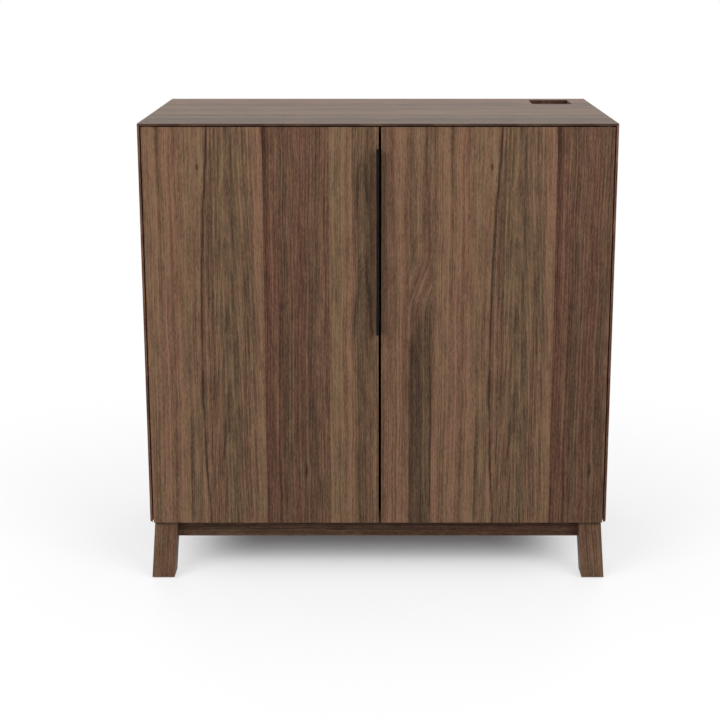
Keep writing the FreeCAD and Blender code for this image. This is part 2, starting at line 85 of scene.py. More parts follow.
class Look:
    """One material's node tree, built by short calls that pass sockets or plain numbers."""

    def __init__(self, name):
        self.material = bpy.data.materials.new(name)
        self.material.use_nodes = True
        self.nodes = self.material.node_tree.nodes
        self.links = self.material.node_tree.links
        self.surface = self.nodes["Principled BSDF"]

    def feed(self, socket, value):
        """Links a socket to value, or sets it to value where that is a number or a colour."""
        if isinstance(value, bpy.types.NodeSocket):
            self.links.new(value, socket)
        else:
            socket.default_value = value

    def set(self, **values):
        """Sets sockets of the surface shader; an underscore stands for a space."""
        for name, value in values.items():
            self.feed(self.surface.inputs[name.replace("_", " ")], value)

    def math(self, operation, *values):
        """One step of arithmetic."""
        node = self.nodes.new("ShaderNodeMath")
        node.operation = operation
        for socket, value in zip(node.inputs, values):
            self.feed(socket, value)
        return node.outputs[0]

    def total(self, *values):
        """The sum of any number of values."""
        result = values[0]
        for value in values[1:]:
            result = self.math("ADD", result, value)
        return result

    def times(self, *values):
        """The product of any number of values."""
        result = values[0]
        for value in values[1:]:
            result = self.math("MULTIPLY", result, value)
        return result

    def ramp(self, value, low, high, start=0.0, end=1.0):
        """A smooth step of value from low to high, given as start to end."""
        node = self.nodes.new("ShaderNodeMapRange")
        node.interpolation_type = "SMOOTHSTEP"
        for socket, number in zip(node.inputs, (value, low, high, start, end)):
            self.feed(socket, number)
        return node.outputs[0]

    def hump(self, value, centre, half):
        """1 where value is centre, and nothing from half away on."""
        away = self.math("ABSOLUTE", self.math("SUBTRACT", value, centre))
        return self.ramp(away, half, 0.0)

    def between(self, value, low, high, edge):
        """1 where value lies from low to high, with soft ends that reach edge to each side."""
        rise = self.ramp(value, low - edge, low + edge)
        fall = self.ramp(value, high + edge, high - edge)
        return self.times(rise, fall)

    def length(self, first, second):
        """The length of the diagonal of two sides."""
        return self.math("SQRT", self.total(self.times(first, first), self.times(second, second)))

    def vector(self, x, y, z):
        """A point from its three coordinates."""
        node = self.nodes.new("ShaderNodeCombineXYZ")
        for socket, value in zip(node.inputs, (x, y, z)):
            self.feed(socket, value)
        return node.outputs[0]

    def coordinates(self, kind="Object"):
        """The three coordinates of a point on the piece, in metres, or of its normal."""
        node = self.nodes.new("ShaderNodeTexCoord")
        parts = self.nodes.new("ShaderNodeSeparateXYZ")
        self.links.new(node.outputs[kind], parts.inputs[0])
        return parts.outputs

    def noise(self, point, cells, detail=2.0, rough=0.5):
        """Noise from 0 to 1 with its own number of cells per metre along each axis."""
        scale = self.nodes.new("ShaderNodeVectorMath")
        scale.operation = "MULTIPLY"
        self.feed(scale.inputs[0], point)
        self.feed(scale.inputs[1], cells)
        node = self.nodes.new("ShaderNodeTexNoise")
        self.links.new(scale.outputs[0], node.inputs["Vector"])
        node.inputs["Scale"].default_value = 1.0
        node.inputs["Detail"].default_value = detail
        node.inputs["Roughness"].default_value = rough
        return node.outputs[0]

    def swing(self, point, cells, amount, detail=2.0, rough=0.5):
        """The same noise as a push of up to about amount either way."""
        grey = self.noise(point, cells, detail, rough)
        return self.times(self.math("SUBTRACT", grey, 0.5), 2 * amount)

    def random(self, number):
        """A fixed random value from 0 to 1 for each number."""
        node = self.nodes.new("ShaderNodeTexWhiteNoise")
        node.noise_dimensions = "1D"
        self.feed(node.inputs["W"], number)
        return node.outputs["Value"]

    def mix(self, factor, first, second):
        """A colour between first and second, as factor goes from 0 to 1."""
        node = self.nodes.new("ShaderNodeMix")
        node.data_type = "RGBA"
        self.feed(node.inputs[MIX_FACTOR], factor)
        self.feed(node.inputs[MIX_FIRST], first)
        self.feed(node.inputs[MIX_SECOND], second)
        return node.outputs[MIX_RESULT]

    def bump(self, height, distance, strength):
        """Gives the surface the relief that height describes, with distance as its depth."""
        node = self.nodes.new("ShaderNodeBump")
        node.inputs["Strength"].default_value = strength
        node.inputs["Distance"].default_value = distance
        self.feed(node.inputs["Height"], height)
        self.links.new(node.outputs[0], self.surface.inputs["Normal"])


# Walnut, from its darkest streak to its lightest, on the red side and on the olive side.
RED_DARK = colour(54, 30, 23)
RED_LIGHT = colour(134, 97, 78)
OLIVE_DARK = colour(50, 40, 31)
OLIVE_LIGHT = colour(126, 101, 76)

# Growth rings: how deep the trunk's heart lies behind a board's face, and the tones that each ring
# runs through.  An arch opens by ARCH_SPREAD times the root of the drop from its peak, in metres.
HEART_DEPTH = 14 * MM
RING_PALE = 0.35
RING_DARK = -0.65
ARCH_SPREAD = 0.045

# Veins bow about the middle of the case's height.
BOW_MIDDLE = 450 * MM


def growth_rings(look, aside, along, wobble, taper, spacing):
    """A trunk's rings where a board cuts them: lines far from its heart, tall arches over it.
    Each ring starts pale and darkens."""
    reach = look.math("SQRT", look.total(look.times(aside, aside), HEART_DEPTH**2))
    place = look.total(reach, look.times(along, taper), wobble)
    ring = look.math("FRACT", look.math("DIVIDE", place, spacing))
    return look.ramp(ring, 0.15, 1.0, RING_PALE, RING_DARK)


def streak(look, across, along, centre, half, span, fade):
    """A streak along the grain, 1 at its middle, that fades out at both ends of its span."""
    low, high = span
    return look.times(look.hump(across, centre, half), look.between(along, low, high, fade))


def arch(look, across, along, middle, peak, reach):
    """The line of an arch that opens downwards from its peak and fades out at the end of its reach."""
    half_line, fade = 5 * MM, 14 * MM
    drop = look.math("MAXIMUM", look.math("SUBTRACT", peak, along), 0.0)
    leg = look.times(look.math("SQRT", drop), ARCH_SPREAD)
    aside = look.math("ABSOLUTE", look.math("SUBTRACT", across, middle))
    line = look.hump(look.math("SUBTRACT", aside, leg), 0.0, half_line)
    return look.times(line, look.between(along, peak - reach, peak, fade))


# The doors are cut from one run of four glued boards, with places across it measured from the
# cabinet's middle.  Where its narrow board ends, on the right door, the run comes round again.
FIGURE_PERIOD = 563 * MM
RUN_START = -900 * MM
PALE_END = -221 * MM
RED_END = -94 * MM
WIDE_END = 60 * MM
NARROW_END = 105 * MM
HAIR = 0.5 * MM

# Where the trunk's heart lies behind the pale board and behind the red one.
PALE_HEART = -292 * MM
RED_HEART = -70 * MM
# The arches beside the pull: their middle, and the height of each one's peak with its reach down.
ARCH_MIDDLE = -29 * MM
ARCH_PEAKS = ((855 * MM, 90 * MM), (820 * MM, 80 * MM), (672 * MM, 170 * MM), (640 * MM, 130 * MM))
# The place, height and length of each eye, and how steeply the edge of the wave under them rises.
EYES = ((70 * MM, 672 * MM, 55 * MM), (71 * MM, 548 * MM, 30 * MM))
WAVE_SLOPE = 2.4
# The place and height of each knot.
KNOTS = ((-345 * MM, 838 * MM), (-142 * MM, 228 * MM))
KNOT_HALF_WIDTH = 3 * MM
KNOT_HALF_HEIGHT = 9 * MM


def board_tones(look, board, add):
    """The four boards' own tones.  The red board's is the one that the others are measured by."""
    pale = look.between(board, RUN_START, PALE_END, HAIR)
    wide = look.between(board, RED_END, WIDE_END, HAIR)
    narrow = look.between(board, WIDE_END, NARROW_END, HAIR)
    add(pale, lighter=0.16, greener=0.10)
    add(wide, lighter=0.14, greener=0.08)
    add(narrow, lighter=0.0, greener=0.25)


def pale_board(look, board, run, add):
    """The pale board's strips: an olive heart, a light edge by the seam, and two to the left."""
    heart = look.between(run, -338 * MM, -268 * MM, 10 * MM)
    light_edge = look.between(run, -250 * MM, -200 * MM, 7 * MM)
    olive = look.between(run, -415 * MM, -352 * MM, 12 * MM)
    outermost = look.between(run, -450 * MM, -378 * MM, 12 * MM)
    add(heart, lighter=-0.05, greener=0.18)
    add(light_edge, lighter=0.07, greener=-0.04)
    add(olive, lighter=0.04, greener=0.12)
    add(outermost, lighter=0.05, greener=-0.14)


def bowed_vein(look, board, along, add):
    """The long dark vein beside the pale board's heart, bowed, with what lies close to it."""
    bow_reach, bow_depth = 400 * MM, 14 * MM
    off = look.math("DIVIDE", look.math("SUBTRACT", along, BOW_MIDDLE), bow_reach)
    bow = look.math("SUBTRACT", board, look.times(off, off, bow_depth))
    waver = look.swing(look.vector(0.0, 0.0, along), (1.0, 1.0, 9.0), 5 * MM, 3.0)
    bowed = look.total(bow, waver)
    breaks = look.noise(look.vector(along, 0.0, 0.0), (7.0, 1.0, 1.0))
    strength = look.ramp(breaks, 0.3, 0.6, 0.7, 1.0)
    vein = look.hump(bowed, -344 * MM, 4 * MM)
    light_side = look.hump(bowed, -351 * MM, 5 * MM)
    second = look.hump(bowed, -331 * MM, 4 * MM)
    thick = streak(look, bowed, along, -343 * MM, 8 * MM, (360 * MM, 460 * MM), 50 * MM)
    dark_patch = streak(look, board, along, -368 * MM, 9 * MM, (200 * MM, 300 * MM), 40 * MM)
    light_patch = streak(look, board, along, -356 * MM, 9 * MM, (200 * MM, 270 * MM), 40 * MM)
    add(look.times(vein, strength), lighter=-0.50, greener=0.15)
    add(look.times(light_side, strength), lighter=0.12, greener=0.1)
    add(look.times(second, strength), lighter=-0.14, greener=0.1)
    add(thick, lighter=-0.2, greener=0.2)
    add(dark_patch, lighter=-0.22, greener=0.3)
    add(light_patch, lighter=0.16, greener=0.25)


def red_board(look, board, run, along, add):
    """The red board: dark next to its left seam, with one short dark streak."""
    red = look.between(board, PALE_END, RED_END, HAIR)
    shade = look.between(run, -250 * MM, -204 * MM, 6 * MM)
    dark_streak = streak(look, run, along, -197 * MM, 6 * MM, (140 * MM, 300 * MM), 50 * MM)
    add(look.times(shade, red), lighter=-0.20, greener=-0.10)
    add(dark_streak, lighter=-0.2, greener=-0.15)


def wide_board(look, board, run, along, add):
    """The wide board: a light strip, a brown one with arches down it, and a red one."""
    light = look.between(board, RED_END, -51 * MM, 1 * MM)
    brown = look.between(run, -46 * MM, -10 * MM, 8 * MM)
    red = look.between(board, 14 * MM, WIDE_END, 8 * MM)
    add(light, lighter=0.10, greener=0.15)
    add(brown, lighter=-0.12, greener=0.2)
    add(red, lighter=0.05, greener=-0.24)
    for peak, reach in ARCH_PEAKS:
        add(arch(look, run, along, ARCH_MIDDLE, peak, reach), lighter=-0.20, greener=0.10)


def narrow_board(look, board, along, sway, add):
    """The narrow board: light, with wisps and two eyes, above a slanting line, and a dark wave
    below it.  Returns sway with the swerve to the left that this board's grain makes."""
    narrow = look.between(board, WIDE_END, NARROW_END, HAIR)
    swerve = look.ramp(along, 545 * MM, 680 * MM, 0.0, -34 * MM)
    sway = look.total(sway, look.times(narrow, swerve))
    weave = look.swing(look.vector(0.0, 0.0, along), (1.0, 1.0, 4.0), 20 * MM, 2.0)
    waved = look.total(board, weave)
    rise = look.times(look.math("SUBTRACT", board, WIDE_END), WAVE_SLOPE)
    slant = look.math("SUBTRACT", along, rise)
    above = look.ramp(slant, 455 * MM, 515 * MM)
    below = look.ramp(slant, 515 * MM, 455 * MM)
    fade = look.ramp(board, 64 * MM, 112 * MM, 1.0, 0.35)
    add(look.times(narrow, above), lighter=0.12, greener=-0.16)
    add(look.times(narrow, below, fade), lighter=-0.26, greener=0.25)
    left_wisp = streak(look, waved, along, 72 * MM, 6 * MM, (740 * MM, 900 * MM), 50 * MM)
    right_wisp = streak(look, waved, along, 97 * MM, 5 * MM, (660 * MM, 950 * MM), 60 * MM)
    light_wisp = streak(look, waved, along, 86 * MM, 9 * MM, (570 * MM, 660 * MM), 50 * MM)
    add(left_wisp, lighter=-0.22, greener=0.1)
    add(right_wisp, lighter=-0.2, greener=0.1)
    for centre, height, length in EYES:
        span = (height - length / 3, height + length / 3)
        eye = streak(look, board, along, centre, 10 * MM, span, length)
        add(eye, lighter=-0.42, greener=0.2)
    add(light_wisp, lighter=0.12, greener=0.1)
    return sway


def door_rings(look, board, along, add):
    """Growth rings: arches in the pale board's heart, and nearly straight lines on the red board."""
    wobble = look.swing(look.vector(board, 0.0, along), (14.0, 1.0, 3.0), 5 * MM, 3.0, 0.6)
    heart = look.between(board, -330 * MM, -232 * MM, 10 * MM)
    aside = look.math("SUBTRACT", board, PALE_HEART)
    arches = growth_rings(look, aside, along, wobble, taper=0.045, spacing=6.5 * MM)
    add(look.times(arches, heart), lighter=0.18, greener=0.05)
    red = look.between(board, PALE_END, RED_END, HAIR)
    aside = look.math("SUBTRACT", board, RED_HEART)
    lines = growth_rings(look, aside, along, wobble, taper=0.03, spacing=6 * MM)
    add(look.times(lines, red), lighter=0.13, greener=-0.05)


def knots(look, board, along, add):
    """Two small knots, each in the light swirl that the grain makes round it."""
    for knot, height in KNOTS:
        aside = look.math("DIVIDE", look.math("SUBTRACT", board, knot), KNOT_HALF_WIDTH)
        above = look.math("DIVIDE", look.math("SUBTRACT", along, height), KNOT_HALF_HEIGHT)
        away = look.length(aside, above)
        swirl = look.hump(away, 2.6, 2.2)
        add(look.ramp(away, 1.0, 0.3), lighter=-0.5, greener=0.0)
        add(swirl, lighter=0.08, greener=0.2)


def door_figure(look, across, along):
    """Where a point lies on the doors' run of boards, how far the grain sways from there, and the
    tone and hue that the run's features add up to."""
    wrap = look.times(look.math("GREATER_THAN", across, NARROW_END), FIGURE_PERIOD)
    board = look.math("SUBTRACT", across, wrap)
    sway = look.swing(look.vector(board, 0.0, along), (6.0, 1.0, 4.5), 7 * MM, 3.0)
    run = look.total(board, sway)
    tone, hue = [], []

    def add(shape, lighter, greener):
        """Adds a feature: its shape, and what it does to tone and hue where that is 1."""
        tone.append(look.times(shape, lighter))
        hue.append(look.times(shape, greener))

    board_tones(look, board, add)
    pale_board(look, board, run, add)
    bowed_vein(look, board, along, add)
    red_board(look, board, run, along, add)
    wide_board(look, board, run, along, add)
    sway = narrow_board(look, board, along, sway, add)
    door_rings(look, board, along, add)
    knots(look, board, along, add)
    return board, sway, look.total(*tone), look.total(*hue)


# Where the seams of plain boards fall, how far apart in the noise neighbouring boards lie, and how
# far the legs of one side lie from those of the other.
SEAM_OFFSET = 5.37
NEXT_BOARD_ALONG = 1.37
NEXT_BOARD_DEEP = 0.71
OTHER_SIDE = 0.53


def board_figure(look, across, along, width):
    """The number of the glued board that a point is in, with the tone and hue it has there."""
    place = look.math("DIVIDE", look.total(across, SEAM_OFFSET), width)
    number = look.math("FLOOR", place)
    inside = look.math("SUBTRACT", look.math("SUBTRACT", place, number), 0.5)

    def chance(seed, reach):
        """A random value for each board, up to reach either way."""
        draw = look.random(look.total(number, seed))
        return look.times(look.math("SUBTRACT", draw, 0.5), 2 * reach)

    def apart(seed, bow=0.0):
        """The distance from a line at a random place in the board, which may bow."""
        off = look.math("SUBTRACT", along, BOW_MIDDLE)
        line = look.total(chance(seed, 0.4), look.times(off, off, bow / width))
        drift = look.swing(look.vector(number, 0.0, along), (1.0, 1.0, 5.0), 5 * MM / width, 3.0)
        return look.times(look.total(inside, line, drift), width)

    vein = look.hump(apart(seed=0.2, bow=60 * MM), 0.0, 4 * MM)
    broken = look.ramp(look.noise(look.vector(along, number, 0.0), (6.0, 1.0, 1.0)), 0.35, 0.6)
    from_heart = apart(seed=0.4)
    heart = look.hump(from_heart, 0.0, 26 * MM)
    pale = look.hump(apart(seed=0.6), 0.0, 18 * MM)
    wobble = look.swing(look.vector(across, 0.0, along), (14.0, 1.0, 3.0), 5 * MM, 3.0, 0.6)
    rings = growth_rings(look, from_heart, along, wobble, taper=0.045, spacing=7 * MM)
    tone = (chance(seed=0.1, reach=0.13), look.times(vein, broken, -0.3), look.times(heart, -0.12),
            look.times(pale, 0.10), look.times(rings, 0.20))
    hue = (chance(seed=0.5, reach=0.35), look.times(heart, 0.25), look.times(rings, 0.1))
    return number, look.total(*tone), look.total(*hue)


def follow_lean(look, value, along, lean):
    """The place across a leg that leans outwards on each side of the cabinet's middle."""
    further = look.times(look.math("GREATER_THAN", value, 0.0), OTHER_SIDE)
    return look.total(look.math("ABSOLUTE", value), look.times(along, lean), further)


# Layers of the grain, from broad to fine: cells per metre across and along the grain, how far they
# swing the tone either way, and their detail.  The mottle's layers do the same with the hue.
GRAIN = (
    (44.0, 1.4, 0.22, 3.0),
    (70.0, 14.0, 0.30, 2.0),
    (150.0, 0.8, 0.24, 2.0),
    (420.0, 1.5, 0.48, 1.0),
    (560.0, 110.0, 0.34, 1.0),
)
MOTTLE = (
    (38.0, 0.9, 0.8, 2.0),
    (90.0, 16.0, 0.5, 2.0),
    (260.0, 3.0, 0.2, 2.0),
)

# A broad noise is drawn as thin contour lines, so many to its whole height.
BROAD_CELLS = (9.0, 9.0, 0.35)
CONTOURS = 19.0
# The finest marks, the fibres and pores, also roughen the wood's gloss and give it its relief.
FIBRE_CELLS = (1250.0, 1250.0, 32.0)
FIBRE_TONE = 0.7
FIBRE_ROUGHNESS = 0.14
FIBRE_RELIEF = 0.35
PORE_CELLS = (600.0, 600.0, 50.0)
PORE_TONE = -0.14
RELIEF_DEPTH = 0.06 * MM
OILED_ROUGHNESS = 0.43
# The hue that all walnut starts from, and what is added to it on faces that look to the front: the
# redder hue of a painted shade.
MIDDLE_HUE = 0.5
FRONT_SHADE_HUE = -0.4
# The tone to this power mixes dark and light, which keeps dark streaks as soft as pale ones.
DEPTH_POWER = 1.5


def walnut(name, grain, across, board=None, bold=1.0, figure=None, level=0.63, edge_highlight=0.0, front=0.0,
           end_tone=-0.16, gloss=0.12, lean=0.0):
    """Oiled walnut with its grain along one axis, in boards glued side by side across it.

    The boards are board wide, and bold says how much they differ, or figure draws them.  level is
    the wood's tone, and worn lightens it, for a painted highlight on rounded edges.  front changes
    it on faces that look to the front, a painted shade, and end_tone changes it on end grain.
    gloss is its shine, and lean is how far a leg leans out for each metre down.
    """
    look = Look(name)
    place = look.coordinates()
    deep = place[3 - grain - across]
    along, side = place[grain], place[across]
    if lean:
        side, deep = (follow_lean(look, value, along, lean) for value in (side, deep))
    # On the rounded edges the tone starts lighter: a painted highlight.
    tone, hue = [level + edge_highlight], [MIDDLE_HUE]

    if figure:
        side, sway, more_tone, more_hue = figure(look, side, along)
        tone.append(more_tone)
        hue.append(more_hue)
    else:
        sway = look.swing(look.vector(side, deep, along), (7.0, 7.0, 3.2), 6 * MM, 3.0)
    shiver = look.swing(look.vector(side, deep, along), (26.0, 26.0, 13.0), 1.4 * MM, 2.0)
    sway = look.total(sway, shiver)
    if board:
        number, more_tone, more_hue = board_figure(look, side, along, board)
        tone.append(look.times(more_tone, bold))
        hue.append(more_hue)
        along = look.total(along, look.times(number, NEXT_BOARD_ALONG))
        deep = look.total(deep, look.times(number, NEXT_BOARD_DEEP))
    point = look.vector(look.total(side, sway), deep, along)

    def layers(rows, rough):
        """Streaks of several sizes, each as wide in depth as across the grain."""
        return [look.swing(point, (wide, wide, long), amount, detail, rough)
                for wide, long, amount, detail in rows]

    broad = look.noise(point, BROAD_CELLS, 1.0, 0.5)
    contour = look.math("FRACT", look.times(broad, CONTOURS))
    fibre = look.noise(point, FIBRE_CELLS, 2.0, 0.6)
    pore = look.ramp(look.noise(point, PORE_CELLS, 1.0), 0.60, 0.72)
    tone.append(look.ramp(contour, 0.5, 1.0, 0.03, -0.07))
    tone += layers(GRAIN, 0.6)
    tone.append(look.times(look.math("SUBTRACT", fibre, 0.5), FIBRE_TONE))
    tone.append(look.times(pore, PORE_TONE))
    hue += layers(MOTTLE, 0.5)

    normal = look.coordinates("Normal")
    end = look.ramp(look.math("ABSOLUTE", normal[grain]), 0.75, 0.95)
    tone.append(look.times(end, end_tone))
    # Painted shade: faces that look to the front, such as the lips round the doors, are made darker
    # and redder.
    if front:
        front_shade_mask = look.ramp(normal[Y], -0.6, -0.9)
        tone.append(look.times(front_shade_mask, front))
        hue.append(look.times(front_shade_mask, FRONT_SHADE_HUE))

    red_to_olive = look.total(*hue)
    dark = look.mix(red_to_olive, RED_DARK, OLIVE_DARK)
    light = look.mix(red_to_olive, RED_LIGHT, OLIVE_LIGHT)
    depth = look.math("POWER", look.math("MAXIMUM", look.total(*tone), 0.0), DEPTH_POWER)
    look.set(Base_Color=look.mix(depth, dark, light))
    look.set(Roughness=look.total(look.times(fibre, FIBRE_ROUGHNESS), OILED_ROUGHNESS))
    look.set(Specular_IOR_Level=gloss)
    relief = look.total(look.times(fibre, FIBRE_RELIEF), look.times(pore, -1.0))
    look.bump(relief, RELIEF_DEPTH, 0.6)
    return look.material


# How far scratches and dust carry the roughness of a finish from its lowest value to its highest,
# what is left of a metal's colour under a smear, and the gloss of plastic.
SCRATCH_RANGE = 0.22
DUST_RANGE = 0.16
SMEARED = 0.72
MOULDED_GLOSS = 0.14


def metal(name, tint, rough, cells):
    """Metal with the fine scratches of its last polish and the smears of handling."""
    look = Look(name)
    point = look.vector(*look.coordinates())
    scratch = look.noise(point, cells, 3.0, 0.6)
    smear = look.noise(point, (90.0, 90.0, 90.0), 2.0)
    dim = tuple(SMEARED * part for part in tint[:3]) + (1.0,)
    look.set(Base_Color=look.mix(look.ramp(smear, 0.3, 0.7), dim, tint), Metallic=1.0)
    look.set(Roughness=look.total(look.times(scratch, SCRATCH_RANGE), rough - SCRATCH_RANGE / 2))
    look.bump(scratch, 0.01 * MM, 0.5)
    return look.material


def moulded(name, tint, rough, grain, depth):
    """Plastic, rubber or powder coat: one colour with a fine skin and faint dust on it."""
    look = Look(name)
    point = look.vector(*look.coordinates())
    skin = look.noise(point, (grain, grain, grain), 2.0, 0.5)
    dust = look.noise(point, (45.0, 45.0, 45.0), 3.0, 0.6)
    dusty = tuple(min(1.0, 1.25 * part + 0.006) for part in tint[:3]) + (1.0,)
    look.set(Base_Color=look.mix(look.ramp(dust, 0.35, 0.75), tint, dusty))
    look.set(Roughness=look.total(look.times(dust, DUST_RANGE), rough - DUST_RANGE / 2))
    look.set(Specular_IOR_Level=MOULDED_GLOSS)
    look.bump(skin, depth, 0.7)
    return look.material


def smooth_shading():
    """A node group that turns every face it is given to smooth shading."""
    group = bpy.data.node_groups.new("smooth_shading", "GeometryNodeTree")
    for way in ("INPUT", "OUTPUT"):
        group.interface.new_socket("Geometry", in_out=way, socket_type="NodeSocketGeometry")
    source = group.nodes.new("NodeGroupInput")
    shade = group.nodes.new("GeometryNodeSetShadeSmooth")
    target = group.nodes.new("NodeGroupOutput")
    group.links.new(source.outputs[0], shade.inputs[0])
    group.links.new(shade.outputs[0], target.inputs[0])
    return group


SMOOTH = smooth_shading()
WELD_DISTANCE = 0.005 * MM
FLAT_ANGLE = math.radians(0.5)
EDGE_ANGLE = math.radians(35)
EDGE_SEGMENTS = 2
EDGE_HIGHLIGHT_SLOT = 1


def soften(node, radius, finish, edge_highlight=None):
    """Gives a CAD node its finish, small rounded edges, and a lighter finish on those edges, a painted
    highlight.
    """
    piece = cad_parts[node]
    piece.data.materials.clear()
    piece.data.materials.append(finish)
    if edge_highlight:
        piece.data.materials.append(edge_highlight)
    weld = piece.modifiers.new("weld", "WELD")
    weld.merge_threshold = WELD_DISTANCE
    flat = piece.modifiers.new("flat", "DECIMATE")
    flat.decimate_type = "DISSOLVE"
    flat.angle_limit = FLAT_ANGLE
    edge = piece.modifiers.new("edge", "BEVEL")
    edge.width = radius
    edge.segments = EDGE_SEGMENTS
    edge.limit_method = "ANGLE"
    edge.angle_limit = EDGE_ANGLE
    edge.use_clamp_overlap = True
    # The bevel's faces take the lighter walnut, a painted highlight.
    if edge_highlight:
        edge.material = EDGE_HIGHLIGHT_SLOT
    piece.modifiers.new("shade", "NODES").node_group = SMOOTH
    even = piece.modifiers.new("even", "WEIGHTED_NORMAL")
    even.keep_sharp = False


def names(pattern, *choices):
    """The pieces that a pattern names, one for each choice."""
    return [pattern.format(choice) for choice in choices]


QUARTERS = ("front_left", "front_right", "rear_left", "rear_right")
PIVOTS = ("lower_left", "lower_right", "upper_left", "upper_right")
SIDES = ("left", "right")
GLASS_RAILS = names("glass_rail_{}", 1, 2, 3, 4)
# How much lighter the walnut is on rounded edges: a painted highlight.
EDGE_HIGHLIGHT_TONE = 0.10

# Pieces of wood, the radius of their edges, and how the walnut lies on them.
WOOD = (
    # front paints shade on the faces of the top that look to the front, its front edge and the far
    # wall of its slot.
    (("top_panel",), 0.4 * MM,
     dict(grain=X, across=Y, board=128 * MM, bold=1.7, level=0.575, front=-0.38, gloss=0.24)),
    # front paints shade on the front edges of the sides.
    (("left_side", "right_side"), 0.4 * MM,
     dict(grain=Z, across=Y, board=137 * MM, level=0.558, front=-0.1)),
    # On the doors end_tone lightens the end grain: painted light on the edges that face the gaps above
    # and below them.
    (("left_door", "right_door"), 0.9 * MM,
     dict(grain=Z, across=X, figure=door_figure, level=0.545, end_tone=0.1)),
    (("bottom_panel",), 0.4 * MM, dict(grain=X, across=Y, board=141 * MM)),
    (("back_panel",), 0.3 * MM, dict(grain=Z, across=X, board=223 * MM)),
    (("shelf",), 0.6 * MM, dict(grain=X, across=Y, board=119 * MM)),
    (GLASS_RAILS, 0.5 * MM, dict(grain=Y, across=X)),
    (("neck_rest", "body_rest"), 0.6 * MM, dict(grain=X, across=Z)),
    # The low level of the front and rear rails is a painted shade for their place under the case.
    (("front_rail", "rear_rail"), 0.8 * MM, dict(grain=X, across=Z, level=0.445)),
    (("left_rail", "right_rail"), 0.8 * MM, dict(grain=Y, across=Z, level=0.54)),
    (names("{}_leg", *QUARTERS), 0.9 * MM, dict(grain=Z, across=X, level=0.558, lean=0.07)),
    (names("{}_corner_block", *QUARTERS), 0.8 * MM, dict(grain=Z, across=X)),
)
for members, radius, habit in WOOD:
    finish = walnut("walnut_" + members[0], **habit)
    # Each walnut's lighter copy for the rounded edges is a painted highlight.
    edge_highlight = walnut("walnut_edge_" + members[0], edge_highlight=EDGE_HIGHLIGHT_TONE, **habit)
    for member in members:
        soften(member, radius, finish, edge_highlight)

# Cells per metre of the scratches along each axis: brushed along Y, turned about Z, or all ways.
BRUSHED = (700.0, 40.0, 700.0)
TURNED = (300.0, 300.0, 1500.0)
ALL_WAYS = (900.0, 900.0, 900.0)
STEEL = metal("hinge_steel", colour(52, 46, 42), 0.42, BRUSHED)
BRIGHT = metal("bright_steel", colour(205, 205, 203), 0.26, TURNED)
BRASS = metal("brass", colour(196, 160, 96), 0.32, TURNED)
ZINC = metal("zinc_screws", colour(176, 172, 160), 0.34, ALL_WAYS)
PULL_BLACK = moulded("pull_black", colour(7, 6, 5), 0.66, 1600.0, 0.03 * MM)
BLACKENED = metal("blackened_screws", colour(58, 54, 52), 0.40, ALL_WAYS)
CATCH = moulded("catch_plastic", colour(48, 46, 45), 0.45, 900.0, 0.02 * MM)
RUBBER = moulded("rubber", colour(34, 33, 33), 0.78, 1200.0, 0.04 * MM)
NYLON = moulded("nylon", colour(98, 86, 76), 0.50, 900.0, 0.02 * MM)

# Fittings, the radius of their edges, and what they are made of.
FITTINGS = (
    (("door_pull",), 0.3 * MM, PULL_BLACK),
    (names("{}_pivot_plate", *PIVOTS), 0.25 * MM, STEEL),
    (names("{}_pivot_pin", *PIVOTS), 0.3 * MM, BRIGHT),
    (names("{}_pivot_bush", *PIVOTS), 0.2 * MM, BRASS),
    (names("{}_strike", *SIDES), 0.2 * MM, BRIGHT),
    (("shelf_pins",), 0.3 * MM, BRIGHT),
    (names("{}_catch", *SIDES), 0.6 * MM, CATCH),
    (names("{}_bumper", *SIDES), 0.5 * MM, RUBBER),
    (names("{}_glide", *QUARTERS), 0.4 * MM, NYLON),
)
for members, radius, finish in FITTINGS:
    for member in members:
        soften(member, radius, finish)


# Screw heads with a cross recess, as shares of the head's radius and of its crown's height.  Their
# feet are sunk a little into the surface that they hold.
ARM_LONG = 0.60
ARM_HALF_WIDTH = 0.15
RECESS_FLOOR = (0.8, 0.12)
DOME = ((0.74, 0.93), (0.92, 0.72), (1.0, 0.38))
SUNK = 0.2 * MM
POINTS_ROUND = 24
CREASE_ANGLE = math.radians(40)

# The radius and the crown of each kind of head.
PULL_HEAD = (2.7 * MM, 0.8 * MM)
PLATE_HEAD = (2.7 * MM, 0.7 * MM)
STRIKE_HEAD = (2.2 * MM, 0.16 * MM)
CATCH_HEAD = (2.7 * MM, 1.1 * MM)
BACK_HEAD = (3.1 * MM, 1.1 * MM)
BLOCK_HEAD = (4.0 * MM, 1.4 * MM)
RAIL_HEAD = (3.4 * MM, 1.0 * MM)


def cross_outline(radius):
    """The recess's outline, with as many points as each of the head's rings."""
    far, near = ARM_LONG * radius, ARM_HALF_WIDTH * radius
    middle = (far + near) / 2
    arm = ((far, -near), (far, 0.0), (far, near), (middle, near), (near, near), (near, middle))
    points = []
    for quarter in range(4):
        turn = Matrix.Rotation(math.radians(90 * quarter), 2)
        points += [turn @ Vector(point) for point in arm]
    return points


def ring_outline(radius):
    """A ring whose points start one step back, as the recess's outline does."""
    step = math.tau / POINTS_ROUND
    turns = [step * (number - 1) for number in range(POINTS_ROUND)]
    return [Vector((radius * math.cos(turn), radius * math.sin(turn))) for turn in turns]


def head_levels(radius, crown):
    """The outlines that a head is built from and their heights, from its recess to its foot."""
    cross = cross_outline(radius)
    share, height = RECESS_FLOOR
    levels = [([share * point for point in cross], height * crown), (cross, crown)]
    levels += [(ring_outline(share * radius), height * crown) for share, height in DOME]
    levels.append((ring_outline(radius), -SUNK))
    return levels


